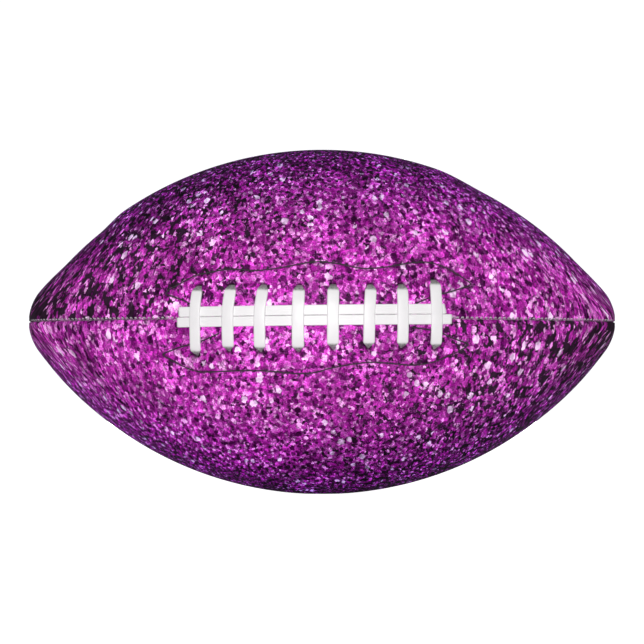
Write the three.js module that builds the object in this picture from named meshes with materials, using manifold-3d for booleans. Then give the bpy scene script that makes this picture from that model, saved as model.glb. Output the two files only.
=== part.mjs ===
// An American football: four sewn cover panels over linings and an air bladder, closed by a lace.
//
// Millimetres. The origin is the ball's centre, +X runs along its long axis, the lace faces -Y and +Z is up.
// "Inset" is always a depth below the cover's outer surface; a negative inset stands proud of it.
import * as THREE from "three";
import { mergeVertices } from "three/addons/utils/BufferGeometryUtils.js";
import Module from "manifold-3d";

// Driving dimensions of the ball.
const LENGTH = 286;
const DIAMETER = 168.5;
const BODY_ARC_RADIUS = 172; // curvature of the side profile between the two noses
const GAP = 0.3; // clearance kept between neighbouring pieces

// Layers, as insets.
const COVER_THICKNESS = 2;
const LINING_THICKNESS = 1.2;
const FACING_THICKNESS = 1;
const BLADDER_WALL = 1;
const TURNED_EDGE_DEPTH = 5; // each cover edge is folded in to this depth along its seams
const TURNED_EDGE_THICKNESS = 2;
const TURNED_EDGE_BITE = 0.2; // overlap that joins a folded edge to its cover
const TURNED_EDGE_REACH = 128; // how far along X the folded edges run before the panels taper out
const LINING_INSET = COVER_THICKNESS + GAP;
const FACING_INSET = LINING_INSET + LINING_THICKNESS + GAP;
const BLADDER_INSET = TURNED_EDGE_DEPTH + GAP;

// Seams: a V-shaped valley with the thread lying in it, deep enough that the ball rests on its panels.
const VALLEY_DEPTH = 1.6;
const THREAD_RADIUS = 0.35;
const THREAD_INSET = 0.8;
const SEAM_REACH = 137;

// Lace: one strip, which makes the eight bars, over two lengthwise strands.
const LACE_WIDTH = 4.9;
const LACE_THICKNESS = 1.3;
const HOLE_HALF_WIDTH = 3.4;
const HOLE_HALF_HEIGHT = 1.8;
// Each bar's upper and lower holes: where along X, and how far from the seam along the surface. They are punched
// by eye, so they wander a little.
const BARS = [
  { upper: -57.8, up: 15, lower: -58.5, down: 16.6 },
  { upper: -42.2, up: 15.5, lower: -43.3, down: 14.6 },
  { upper: -27.2, up: 15.5, lower: -28.6, down: 15 },
  { upper: -10.6, up: 15, lower: -11, down: 15 },
  { upper: 5.2, up: 15.5, lower: 5, down: 13.5 },
  { upper: 22.5, up: 15.5, lower: 21.6, down: 13.2 },
  { upper: 37, up: 15.7, lower: 37.1, down: 13.1 },
  { upper: 52.3, up: 18, lower: 52.7, down: 13.5 },
];
const INNER_LACE_INSET = TURNED_EDGE_DEPTH + 0.5; // the lace's way back from hole to hole, under the seam
const LEG_LEAN = 1; // a bar's legs point at the axis, so inside they stand this much nearer the seam
const TAIL_LENGTH = 14;
const STRAND_MIDDLE_Z = 1.6; // the two strands lie a little above the seam
const STRAND_TILT = 0.66; // degrees by which they rise towards +X
const STRANDS = [
  { name: "lace_strand_upper", from: -66.3, to: 57.4, side: 1 },
  { name: "lace_strand_lower", from: -67.1, to: 60, side: -1 },
];
const TONGUE_INSET = INNER_LACE_INSET + LACE_THICKNESS + GAP;
const TONGUE_THICKNESS = 1;
const TONGUE = { from: -72, to: 67, halfWidth: 13 };
const LACING_RECESS = { from: -78, to: 73, halfWidth: 20 }; // where the bladder gives way to the lacing

// Facings: a leaf of fabric behind each row of holes, whose stitching shows on the cover as a wavy line. Each
// outer edge goes from its short tip to its long tip, as [along X, distance from the seam]. X is turned round for
// the lower facing, whose short tip is the right-hand one.
const UPPER_WAVE = [
  [-73.3, 12],
  [-66, 16.9],
  [-58, 20.7],
  [-45, 22.9],
  [-31, 22.4],
  [-16, 24.4],
  [-2, 26.4],
  [18, 23.4],
  [32, 24.4],
  [48, 26.6],
  [58, 24],
  [70, 16.4],
];
const LOWER_WAVE = [
  [-68.4, 11.8],
  [-57, 18],
  [-49, 20.7],
  [-41, 21.5],
  [-24, 20.2],
  [-14, 21.1],
  [-3.5, 23.1],
  [12, 25.4],
  [27, 24.2],
  [52, 24.7],
  [62, 23.2],
  [74.6, 16.7],
];
const FACING_TIP_RETURN = { short: 10, long: 29 }; // from each tip back to where the stitching meets the strands
const FACING_INNER_EDGE = 6.4; // the inner edge's distance from the middle of the strands
const FACING_MARGIN = 2; // fabric outside the stitching
const STITCH_RADIUS = 0.25;
const STITCH_HEIGHT = 0.1; // clear of the cover's facets

// Valve, in the middle of the upper back panel. Heights are insets, so they grow inwards.
const VALVE_ANGLE = Math.PI / 4;
const VALVE = {
  stemRadius: 4,
  flangeRadius: 11,
  flangeThickness: 1.2,
  flangeClearance: 1.4, // the flat flange lies under a curved wall
  boreRadius: 2.5,
  needleRadius: 1.2,
  top: 0.6,
  lip: 3,
  bottom: 15,
};
const CORE_PATH_RADIUS = 0.6;

// Facets. The belly has a facet facing straight down, because CIRCLE_STEPS is a multiple of 4 and turned by half
// a step, and BODY_STEPS is odd. FACET_SCALE makes the middle of each facet lie on the true radius.
const CIRCLE_STEPS = 24;
const BODY_STEPS = 15;
const NOSE_STEPS = 3;
const FACET_SCALE = 1 / Math.cos(Math.PI / CIRCLE_STEPS);
const SEAM_STEPS = 16;
const THREAD_SIDES = 5;
const HOLE_STEPS = 4;
const VALVE_STEPS = 14;
const REACH = 200; // half the size of a cutting block, larger than the ball

// Side profile: a body arc, centred beyond the axis, that runs tangentially into a round nose at each end.
const HALF_LENGTH = LENGTH / 2;
const ARC_CENTRE_DEPTH = BODY_ARC_RADIUS - DIAMETER / 2;
const NOSE_RADIUS =
  (BODY_ARC_RADIUS ** 2 - ARC_CENTRE_DEPTH ** 2 - HALF_LENGTH ** 2) / (2 * (BODY_ARC_RADIUS - HALF_LENGTH));
const NOSE_CENTRE = HALF_LENGTH - NOSE_RADIUS;
const NOSE_ANGLE = Math.atan2(ARC_CENTRE_DEPTH, NOSE_CENTRE);

const wasm = await Module();
wasm.setup();

// The ball's radius at x, at an inset, on the body arc.
function bodyRadius(x, inset = 0) {
  return Math.sqrt((BODY_ARC_RADIUS - inset) ** 2 - x ** 2) - ARC_CENTRE_DEPTH;
}

// Points of the side profile at an inset, from the left tip to the right tip, as (radius, x).
function profilePoints(inset) {
  const left = [];
  for (let i = 0; i < NOSE_STEPS; i++) {
    const angle = (NOSE_ANGLE * i) / NOSE_STEPS;
    const radius = NOSE_RADIUS - inset;
    left.push(new THREE.Vector2(radius * Math.sin(angle), -NOSE_CENTRE - radius * Math.cos(angle)));
  }
  const body = [];
  for (let i = 0; i <= BODY_STEPS; i++) {
    const angle = NOSE_ANGLE + ((Math.PI - 2 * NOSE_ANGLE) * i) / BODY_STEPS;
    const radius = BODY_ARC_RADIUS - inset;
    body.push(new THREE.Vector2(radius * Math.sin(angle) - ARC_CENTRE_DEPTH, -radius * Math.cos(angle)));
  }
  const right = left.map((point) => new THREE.Vector2(point.x, -point.y)).reverse();
  return [...left, ...body, ...right];
}

// A closed geometry as a solid that can be joined and cut.
function solid(geometry) {
  const loose = geometry.index ? geometry.toNonIndexed() : geometry;
  const bare = new THREE.BufferGeometry().setAttribute("position", loose.getAttribute("position"));
  const merged = mergeVertices(bare, 1e-4);
  const corners = [];
  for (let i = 0; i < merged.index.count; i += 3) {
    const [a, b, c] = merged.index.array.slice(i, i + 3);
    if (a !== b && b !== c && c !== a) corners.push(a, b, c);
  }
  return new wasm.Manifold(
    new wasm.Mesh({
      numProp: 3,
      vertProperties: merged.attributes.position.array,
      triVerts: new Uint32Array(corners),
    }),
  );
}

// A solid back as a geometry.
function geometryOf(made) {
  const mesh = made.getMesh();
  const geometry = new THREE.BufferGeometry();
  geometry.setAttribute("position", new THREE.BufferAttribute(mesh.vertProperties, mesh.numProp));
  geometry.setIndex(new THREE.BufferAttribute(mesh.triVerts, 1));
  geometry.computeVertexNormals();
  return geometry;
}

// The whole ball at an inset, as one full solid.
function ball(inset) {
  const points = profilePoints(inset).map((p) => new THREE.Vector2(p.x * FACET_SCALE, p.y));
  const turned = new THREE.LatheGeometry(points, CIRCLE_STEPS, Math.PI / CIRCLE_STEPS);
  return solid(turned.rotateZ(-Math.PI / 2));
}

// The layer of the ball between two insets.
function layer(outerInset, innerInset) {
  return ball(outerInset).subtract(ball(innerInset));
}

// A block between two corners.
function block(low, high) {
  const size = new THREE.Vector3(...high).sub(new THREE.Vector3(...low));
  const geometry = new THREE.BoxGeometry(size.x, size.y, size.z);
  return solid(geometry.translate(low[0] + size.x / 2, low[1] + size.y / 2, low[2] + size.z / 2));
}

// A quarter of space: the side of both seam planes that a panel lies on, kept some way off them.
function quarter(panel, away) {
  const span = (side) => (side > 0 ? [away, REACH] : [-REACH, -away]);
  const [y0, y1] = span(panel.ySide);
  const [z0, z1] = span(panel.zSide);
  return block([-REACH, y0, z0], [REACH, y1, z1]);
}

// The line that a seam follows at an inset, between two places along X. Its plane holds the X axis and `out`.
function seamLine(out, inset, from, to) {
  const points = [];
  for (let i = 0; i <= SEAM_STEPS; i++) {
    const x = THREE.MathUtils.lerp(from, to, i / SEAM_STEPS);
    const onNose = Math.abs(x) > NOSE_CENTRE + NOSE_RADIUS * Math.cos(NOSE_ANGLE);
    const noseHeight = Math.sqrt(Math.max(0, (NOSE_RADIUS - inset) ** 2 - (Math.abs(x) - NOSE_CENTRE) ** 2));
    const radius = onNose ? noseHeight : bodyRadius(x, inset);
    points.push(new THREE.Vector3(x, 0, 0).addScaledVector(out, radius));
  }
  return new THREE.CatmullRomCurve3(points);
}

// A regular polygon, corner first, for the section of a thread or valley.
function polygon(radius, sides) {
  const corners = [];
  for (let i = 0; i < sides; i++) {
    const angle = (2 * Math.PI * i) / sides;
    corners.push(new THREE.Vector2(radius * Math.cos(angle), radius * Math.sin(angle)));
  }
  return new THREE.Shape(corners);
}

function alongPath(shape, path, steps) {
  return new THREE.ExtrudeGeometry(shape, { extrudePath: path, steps });
}

// Seams, each with the direction in which it faces and the stretches that are sewn.
const FRONT = new THREE.Vector3(0, -1, 0);
const SEAMS = [
  { name: "seam_thread_top", out: new THREE.Vector3(0, 0, 1), from: -SEAM_REACH, to: SEAM_REACH },
  { name: "seam_thread_back", out: new THREE.Vector3(0, 1, 0), from: -SEAM_REACH, to: SEAM_REACH },
  { name: "seam_thread_bottom", out: new THREE.Vector3(0, 0, -1), from: -SEAM_REACH, to: SEAM_REACH },
  { name: "seam_thread_lace_left", out: FRONT, from: -SEAM_REACH, to: -70 },
  { name: "seam_thread_lace_right", out: FRONT, from: 63, to: SEAM_REACH },
];

function seamThread(seam) {
  const path = seamLine(seam.out, THREAD_INSET, seam.from, seam.to);
  return alongPath(polygon(THREAD_RADIUS, THREAD_SIDES), path, SEAM_STEPS);
}

function seamValley(seam) {
  const path = seamLine(seam.out, 0, seam.from - 1, seam.to + 1);
  return solid(alongPath(polygon(VALLEY_DEPTH, 4), path, SEAM_STEPS));
}

// The folded-in edge of a panel along one seam plane: a crescent-shaped plate under the cover.
function turnedEdge(panel, alongY) {
  const band = layer(COVER_THICKNESS - TURNED_EDGE_BITE, TURNED_EDGE_DEPTH);
  const near = GAP / 2;
  const far = near + TURNED_EDGE_THICKNESS;
  const span = (side) => (side > 0 ? [near, far] : [-far, -near]);
  const open = (side) => (side > 0 ? [far, REACH] : [-REACH, -far]);
  const [y0, y1] = alongY ? open(panel.ySide) : span(panel.ySide);
  const [z0, z1] = alongY ? span(panel.zSide) : open(panel.zSide);
  return band.intersect(block([-TURNED_EDGE_REACH, y0, z0], [TURNED_EDGE_REACH, y1, z1]));
}

// The frame of one lace bar: its origin on the cover where the bar crosses the seam, X along the ball's profile,
// Y outwards and Z upwards.
function barFrame(bar) {
  const span = bar.up + bar.down;
  const middle = bar.lower + ((bar.upper - bar.lower) * bar.down) / span;
  const slope = Math.asin(middle / BODY_ARC_RADIUS);
  const slant = Math.atan2(bar.upper - bar.lower, span);
  const frame = new THREE.Matrix4().makeTranslation(middle, -bodyRadius(middle), 0);
  frame.multiply(new THREE.Matrix4().makeRotationZ(Math.PI + slope));
  frame.multiply(new THREE.Matrix4().makeRotationY(-slant));
  const curvature = Math.cos(slope) / bodyRadius(middle);
  return { frame, curvature };
}

// A point of a bar's side view: along the surface from the seam, and above it, on a ball of this curvature.
function onSurface(along, height, curvature) {
  const angle = along * curvature;
  const radius = 1 / curvature + height;
  return new THREE.Vector2(radius * Math.sin(angle), radius * Math.cos(angle) - 1 / curvature);
}

// Half the side view of a bar, from its crest over the seam down into the hole and back along its underside, as
// points along the surface and above it.
function barHalf(holeDistance) {
  const deep = -(INNER_LACE_INSET + LACE_THICKNESS / 2); // ends inside the inner stretch
  const legOut = holeDistance + LACE_THICKNESS / 2;
  const legIn = holeDistance - LACE_THICKNESS / 2;
  const shoulder = holeDistance - 2;
  const crest = 2 * (LACE_THICKNESS + GAP);
  return [
    [0, crest],
    [5.5, crest + 0.2],
    [9, crest - 0.3],
    [shoulder, 2.3],
    [legOut - 0.6, 1.3],
    [legOut, 0.2],
    [legOut, deep],
    [legIn, deep],
    [legIn, 0.2],
    [shoulder, 0.9],
    [9.6, 1.7],
    [6.9, crest - LACE_THICKNESS + 0.2],
    [0, crest - LACE_THICKNESS],
  ];
}

// One bar: it rises out of the upper hole, climbs over the strands and dives into the lower hole.
function laceBar(bar) {
  const { frame, curvature } = barFrame(bar);
  const upper = barHalf(bar.up).map(([along, height]) => onSurface(along, height, curvature));
  const lower = barHalf(bar.down).map(([along, height]) => onSurface(-along, height, curvature));
  const sideView = new THREE.Shape([...upper, ...lower.slice(1, -1).reverse()]);
  const strip = new THREE.ExtrudeGeometry(sideView, { depth: LACE_WIDTH, bevelEnabled: false });
  // The side view's X becomes the bar's Z, its Y stays outwards, and the strip's width lies along the bar's X.
  strip.translate(0, 0, -LACE_WIDTH / 2).rotateY(-Math.PI / 2);
  return solid(strip.applyMatrix4(frame));
}

// The two punched holes of a bar, as cutters that go through every layer.
function laceHoles(bar) {
  const { frame, curvature } = barFrame(bar);
  const outline = new THREE.Shape().absellipse(0, 0, HOLE_HALF_WIDTH, HOLE_HALF_HEIGHT, 0, 2 * Math.PI);
  const above = 3; // both ends of the cutter stand clear of the layers it goes through
  const depth = above + FACING_INSET + FACING_THICKNESS + 2;
  const cutters = [bar.up, -bar.down].map((along) => {
    const cutter = new THREE.ExtrudeGeometry(outline, { depth, bevelEnabled: false, curveSegments: HOLE_STEPS });
    cutter.rotateX(Math.PI / 2).translate(0, above + 1 / curvature, 0);
    cutter.rotateX(along * curvature).translate(0, -1 / curvature, 0);
    return solid(cutter.applyMatrix4(frame));
  });
  return cutters[0].add(cutters[1]);
}

// A straight strip of the lace inside the ball, between two places given as [x, z].
function innerLace(start, end) {
  const run = new THREE.Vector2(...end).sub(new THREE.Vector2(...start));
  const length = run.length() + LACE_THICKNESS;
  const strip = new THREE.BoxGeometry(length, REACH, LACE_WIDTH);
  strip.rotateY(-run.angle()).translate((start[0] + end[0]) / 2, -REACH / 2, (start[1] + end[1]) / 2);
  return layer(INNER_LACE_INSET, INNER_LACE_INSET + LACE_THICKNESS).intersect(solid(strip));
}

function crossingLace() {
  const upperEnd = (bar, x = bar.upper) => [x, bar.up - LEG_LEAN];
  const lowerEnd = (bar, x = bar.lower) => [x, LEG_LEAN - bar.down];
  let lace = laceBar(BARS[0]);
  for (const bar of BARS.slice(1)) lace = lace.add(laceBar(bar));
  for (let i = 1; i < BARS.length; i++) lace = lace.add(innerLace(lowerEnd(BARS[i - 1]), upperEnd(BARS[i])));
  const first = BARS[0];
  const last = BARS[BARS.length - 1];
  lace = lace.add(innerLace(upperEnd(first, first.upper - TAIL_LENGTH), upperEnd(first)));
  lace = lace.add(innerLace(lowerEnd(last), lowerEnd(last, last.lower + TAIL_LENGTH)));
  return lace;
}

function laceStrand(strand) {
  const near = STRAND_MIDDLE_Z + (strand.side * GAP) / 2;
  const [z0, z1] = [near, near + strand.side * LACE_WIDTH].sort((a, b) => a - b);
  const strip = block([strand.from, -REACH, z0], [strand.to, 0, z1]).rotate([0, -STRAND_TILT, 0]);
  return layer(-GAP - LACE_THICKNESS, -GAP).intersect(strip);
}

// The leaf outline of a facing, grown by a margin, as points in (x, z): from where the stitching leaves the
// strands, round the short tip, along the wave, round the long tip and back to the strands.
function facingOutline(side, margin) {
  const wave = side > 0 ? UPPER_WAVE : LOWER_WAVE;
  const [shortTip, longTip] = [wave[0], wave[wave.length - 1]];
  const inner = FACING_INNER_EDGE + side * STRAND_MIDDLE_Z - margin;
  const outline = [
    [shortTip[0] + FACING_TIP_RETURN.short, inner],
    [shortTip[0] - margin, shortTip[1]],
    ...wave.slice(1, -1).map(([x, away]) => [x, away + margin]),
    [longTip[0] + margin, longTip[1]],
    [longTip[0] - FACING_TIP_RETURN.long / 2, (longTip[1] + inner) / 2],
    [longTip[0] - FACING_TIP_RETURN.long, inner],
  ];
  return outline.map(([x, away]) => new THREE.Vector2(side * x, side * away));
}

function laceFacing(side) {
  const outline = new THREE.Shape(facingOutline(side, FACING_MARGIN));
  const prism = new THREE.ExtrudeGeometry(outline, { depth: REACH, bevelEnabled: false });
  const leaf = solid(prism.rotateX(Math.PI / 2));
  return layer(FACING_INSET, FACING_INSET + FACING_THICKNESS).intersect(leaf);
}

// The facing's stitching on the outside of the cover: thread along the leaf's outline, ending at the strands.
function facingStitching(side) {
  const height = STITCH_HEIGHT + STITCH_RADIUS;
  const points = facingOutline(side, 0).map(({ x, y: z }) => {
    const radius = bodyRadius(x) * FACET_SCALE + height;
    return new THREE.Vector3(x, -Math.sqrt(radius ** 2 - z ** 2), z);
  });
  const path = new THREE.CatmullRomCurve3(points, false, "centripetal");
  return alongPath(polygon(STITCH_RADIUS, THREAD_SIDES), path, 3 * points.length);
}

function laceTongue() {
  const strip = block([TONGUE.from, -REACH, -TONGUE.halfWidth], [TONGUE.to, 0, TONGUE.halfWidth]);
  return layer(TONGUE_INSET, TONGUE_INSET + TONGUE_THICKNESS).intersect(strip);
}

// The bladder: a thin shell that gives way behind the lacing and is open at the valve.
function bladder() {
  const behindTongue = TONGUE_INSET + TONGUE_THICKNESS + GAP;
  const wallOf = (inset, depth, grow) => {
    const low = [LACING_RECESS.from - grow, -REACH, -LACING_RECESS.halfWidth - grow];
    const high = [LACING_RECESS.to + grow, 0, LACING_RECESS.halfWidth + grow];
    return ball(inset).subtract(layer(0, depth).intersect(block(low, high)));
  };
  const outside = wallOf(BLADDER_INSET, behindTongue, 0);
  const inside = wallOf(BLADDER_INSET + BLADDER_WALL, behindTongue + BLADDER_WALL, BLADDER_WALL);
  return outside.subtract(inside).subtract(valveHole());
}

// The round hole for the valve's stem, through the cover, the lining and the bladder.
function valveHole() {
  const radius = VALVE.stemRadius + GAP;
  const hole = new THREE.CylinderGeometry(radius, radius, 2 * VALVE.bottom, VALVE_STEPS);
  hole.rotateX(Math.PI / 2).translate(0, 0, DIAMETER / 2).rotateX(-VALVE_ANGLE);
  return solid(hole);
}

// A round valve piece from its closed profile, given as [radius, inset].
function valvePiece(profile) {
  const closed = [...profile, profile[0]].map(([radius, inset]) => new THREE.Vector2(radius, -inset));
  return new THREE.LatheGeometry(closed, VALVE_STEPS).rotateX(Math.PI / 2);
}

function valveHousing() {
  const flange = BLADDER_INSET + BLADDER_WALL + VALVE.flangeClearance;
  return valvePiece([
    [VALVE.needleRadius, VALVE.top],
    [VALVE.needleRadius, VALVE.lip],
    [VALVE.boreRadius, VALVE.lip],
    [VALVE.boreRadius, VALVE.bottom],
    [VALVE.stemRadius, VALVE.bottom],
    [VALVE.stemRadius, flange + VALVE.flangeThickness],
    [VALVE.flangeRadius, flange + VALVE.flangeThickness],
    [VALVE.flangeRadius, flange],
    [VALVE.stemRadius, flange],
    [VALVE.stemRadius, VALVE.top],
  ]);
}

function valveCore() {
  const radius = VALVE.boreRadius - GAP;
  const top = VALVE.lip + GAP;
  const bottom = VALVE.bottom - GAP;
  return valvePiece([
    [CORE_PATH_RADIUS, top],
    [CORE_PATH_RADIUS, bottom],
    [radius, bottom],
    [radius, top],
  ]);
}

function material(color, roughness) {
  return new THREE.MeshStandardMaterial({ color, roughness, metalness: 0 });
}

const MATERIALS = {
  cover: material(0x9a2a90, 0.45),
  lace: material(0xf4f4f2, 0.6),
  seamThread: material(0xc9c4c8, 0.8),
  facingThread: material(0x3a3238, 0.8),
  lining: material(0xd8d2c4, 0.95),
  facing: material(0xb9b09e, 0.95),
  bladder: material(0x1c1c1e, 0.6),
  valve: material(0x2a2a2c, 0.5),
  valveCore: material(0xa8342c, 0.5),
};

const PANELS = [
  { place: "front_upper", ySide: -1, zSide: 1 },
  { place: "front_lower", ySide: -1, zSide: -1 },
  { place: "back_upper", ySide: 1, zSide: 1 },
  { place: "back_lower", ySide: 1, zSide: -1 },
];

const football = new THREE.Group();

function add(name, geometry, look, parent = football) {
  const mesh = new THREE.Mesh(geometry, look);
  mesh.name = name;
  parent.add(mesh);
}

const allLaceHoles = BARS.map(laceHoles).reduce((sum, pair) => sum.add(pair));
const allValleys = SEAMS.map(seamValley);

// What is cut through the panel and lining at one place: the lace holes at the front, the valve's at the back.
function throughHoles(made, panel) {
  if (panel.ySide < 0) return made.subtract(allLaceHoles);
  return panel.zSide > 0 ? made.subtract(valveHole()) : made;
}

const coverLayer = layer(0, COVER_THICKNESS);
const liningLayer = layer(LINING_INSET, LINING_INSET + LINING_THICKNESS);

for (const panel of PANELS) {
  let cover = coverLayer.intersect(quarter(panel, GAP / 2));
  for (const valley of allValleys) cover = cover.subtract(valley);
  cover = cover.add(turnedEdge(panel, true)).add(turnedEdge(panel, false));
  add("cover_panel_" + panel.place, geometryOf(throughHoles(cover, panel)), MATERIALS.cover);

  const lining = liningLayer.intersect(quarter(panel, TURNED_EDGE_THICKNESS + 2 * GAP));
  add("lining_" + panel.place, geometryOf(throughHoles(lining, panel)), MATERIALS.lining);
}

for (const [place, side] of [["upper", 1], ["lower", -1]]) {
  const facing = laceFacing(side).subtract(allLaceHoles);
  add("lace_facing_" + place, geometryOf(facing), MATERIALS.facing);
  add("facing_stitching_" + place, facingStitching(side), MATERIALS.facingThread);
}

for (const seam of SEAMS) add(seam.name, seamThread(seam), MATERIALS.seamThread);
for (const strand of STRANDS) add(strand.name, geometryOf(laceStrand(strand)), MATERIALS.lace);
add("crossing_lace", geometryOf(crossingLace()), MATERIALS.lace);
add("lace_tongue", geometryOf(laceTongue()), MATERIALS.facing);
add("bladder", geometryOf(bladder()), MATERIALS.bladder);

// The valve is built standing on its own axis, then leaned back to where its panel faces.
const valve = new THREE.Group();
valve.rotation.x = -VALVE_ANGLE;
valve.position.set(0, (DIAMETER / 2) * Math.sin(VALVE_ANGLE), (DIAMETER / 2) * Math.cos(VALVE_ANGLE));
add("valve_housing", valveHousing(), MATERIALS.valve, valve);
add("valve_core", valveCore(), MATERIALS.valveCore, valve);
football.add(valve);

export default football;
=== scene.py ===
import math

import bpy
import numpy as np
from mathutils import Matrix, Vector


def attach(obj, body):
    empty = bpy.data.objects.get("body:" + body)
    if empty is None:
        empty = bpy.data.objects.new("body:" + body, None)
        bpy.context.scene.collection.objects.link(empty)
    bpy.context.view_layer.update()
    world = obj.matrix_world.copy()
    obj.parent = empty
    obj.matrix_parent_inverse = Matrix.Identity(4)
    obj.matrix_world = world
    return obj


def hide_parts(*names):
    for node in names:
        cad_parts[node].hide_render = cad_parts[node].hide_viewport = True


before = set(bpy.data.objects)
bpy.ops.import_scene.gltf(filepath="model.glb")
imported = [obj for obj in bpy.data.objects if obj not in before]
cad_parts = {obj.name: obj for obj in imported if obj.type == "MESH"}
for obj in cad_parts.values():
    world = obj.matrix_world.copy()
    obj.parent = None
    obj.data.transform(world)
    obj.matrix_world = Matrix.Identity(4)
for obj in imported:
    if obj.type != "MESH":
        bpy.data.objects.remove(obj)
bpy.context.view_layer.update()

MM = 0.001

# The ball's side profile: a body arc, centred beyond the axis, with a round nose at each end.
LENGTH = 286
DIAMETER = 168.5
BODY_ARC_RADIUS = 172
HALF_LENGTH = LENGTH / 2
ARC_CENTRE_DEPTH = BODY_ARC_RADIUS - DIAMETER / 2
NOSE_RADIUS = (BODY_ARC_RADIUS**2 - ARC_CENTRE_DEPTH**2 - HALF_LENGTH**2) / (
    2 * (BODY_ARC_RADIUS - HALF_LENGTH)
)
NOSE_CENTRE = HALF_LENGTH - NOSE_RADIUS
NOSE_ANGLE = math.atan2(ARC_CENTRE_DEPTH, NOSE_CENTRE)
NOSE_RUN = NOSE_RADIUS * NOSE_ANGLE
BODY_RUN = BODY_ARC_RADIUS * (math.pi - 2 * NOSE_ANGLE)
MERIDIAN = 2 * NOSE_RUN + BODY_RUN

# Panels. They swell between their seams, by more at the noses, and roll down into them.
PILLOW_BODY = 0.35
PILLOW_NOSE = 1.3
PILLOW_REACH = 9
EDGE_ROLL = 1.7
COVER_INSET = 2.1
# Where the top seam lies low: x where it starts, is full, is full until and ends, then its depth.
TOP_SAGS = [(-140, -124, -110, -96, 1.8), (55, 80, 124, 141, 1.6)]
TURNED_EDGE_INSET = 5
TURNED_EDGE_WIDTH = 2.1
SEAM_PITCH = 2.5
PUCKER_DEPTH = 0.13
PUCKER_FROM_SEAM = 1.6
INNER_ROWS = 10
PANEL_CLEARANCE = 0.04
# How far apart a panel's rows are along the ball and, in radians, across it: fine by the lacing or the valve.
FINE_ROW = 0.5
FINE_TURN = 0.0058
FRONT_GRID = {"fine_run": 84, "row": 1.25, "fine_turn": 0.36, "turn": 0.0145}
BACK_GRID = {"fine_run": 8, "row": 1.1, "fine_turn": 0.06, "turn": 0.0105}
SEAM_BAND = 0.035

# Threads.
SEAM_THREAD_RADIUS = 0.34
FACING_THREAD_RADIUS = 0.3
FACING_STITCH_PITCH = 2.8

# Lacing. Each bar's two ends: where along X, and how far from the seam along the surface.
LACE_WIDTH = 4.75
LACE_THICKNESS = 1.4
LACE_PINCHED_WIDTH = 4.2
LACE_CROWN = 0.12
LACE_RIB = 0.035
BARS = [
    {"upper": -57.8, "up": 15.3, "lower": -58.5, "down": 16.9, "width": 5.3},
    {"upper": -42.2, "up": 15.7, "lower": -43.3, "down": 14.9, "width": 5.7},
    {"upper": -27.2, "up": 15.7, "lower": -28.6, "down": 15.2, "width": 5.5},
    {"upper": -10.6, "up": 15.3, "lower": -11.0, "down": 15.2, "width": 5.8},
    {"upper": 5.2, "up": 15.7, "lower": 5.0, "down": 13.7, "width": 5.6},
    {"upper": 22.5, "up": 15.7, "lower": 21.6, "down": 13.4, "width": 5.5},
    {"upper": 37.0, "up": 15.9, "lower": 37.1, "down": 13.3, "width": 5.4},
    {"upper": 52.3, "up": 18.3, "lower": 52.7, "down": 13.8, "width": 5.5},
]
HOLE_HALF_WIDTH = 1.9
HOLE_HALF_HEIGHT = 1.6
HOLE_DEPTH = 1.9
HOLE_RIM = 0.18
INNER_LACE_INSET = 6.1
TAIL_LENGTH = 13
STRAND_MIDDLE_Z = 1.6
STRAND_TILT = math.radians(0.66)
STRAND_GAP = 0.03
STRANDS = [
    {"node": "lace_strand_upper", "from": -66.4, "to": 57.4, "side": 1, "slant": -0.9},
    {"node": "lace_strand_lower", "from": -67.2, "to": 60.1, "side": -1, "slant": 0.3},
]

# The stitching of the two lace facings, as (x, z) seen from the front.
UPPER_FACING_LINE = [
    (-59.5, 6.2), (-66, 9.2), (-73.0, 11.7), (-73.5, 12.3), (-69, 15.2), (-63.5, 18.2), (-59, 20.4),
    (-54, 21.4), (-45, 22.9), (-38, 22.9), (-31, 22.4), (-21, 23.4), (-10, 25.4), (-2, 26.4), (8, 25.4),
    (18, 23.4), (25, 23.5), (32, 24.4), (39, 25.7), (45, 26.4), (50, 26.4), (57, 24.4), (64, 20.6),
    (69.7, 16.7), (69.6, 16.1), (61, 13), (52, 10.6), (42, 6.4),
]
LOWER_FACING_LINE = [
    (42, -4.1), (48, -4.8), (55, -6.4), (61, -8.9), (67.8, -11.3), (68.4, -11.9), (65.4, -14.2),
    (61.5, -16.2), (57, -18), (53, -19.7), (49, -20.7), (45, -21.3), (41, -21.5), (31.5, -20.7),
    (23.5, -20.2), (14, -21.1), (3.5, -23.1), (-3.5, -25), (-12.8, -25.4), (-20, -24.7), (-27, -24.2),
    (-38.5, -24.1), (-50, -24.6), (-57, -24.6), (-62, -23.3), (-69, -20), (-74.3, -17), (-74.6, -16.3),
    (-66, -13), (-57, -10.6), (-47, -6.4),
]
STITCH_GROOVE = 0.4
FACING_LIFT = 0.3

# How far the print bows towards the noses, and how much narrower it is beside them.
PRINT_BOW = 0.8
PRINT_NARROWING = 0.6

# Valve, in the middle of the upper back panel.
VALVE_RADIUS = 4.2
VALVE_INSET = 0.5
VALVE_DIP = 2.0
VALVE_RING = 0.15

# Studio, in metres and watts.
AMBIENT = 0.13
CAMERA_DISTANCE = 1.5
CAMERA_BELOW = math.radians(1.1)
CAMERA_LENS = 170.8
FLOOR_SIZE = 12
FLOOR_LIFT = 0.00025


# ---------------------------------------------------------------- shape of the ball

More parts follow.
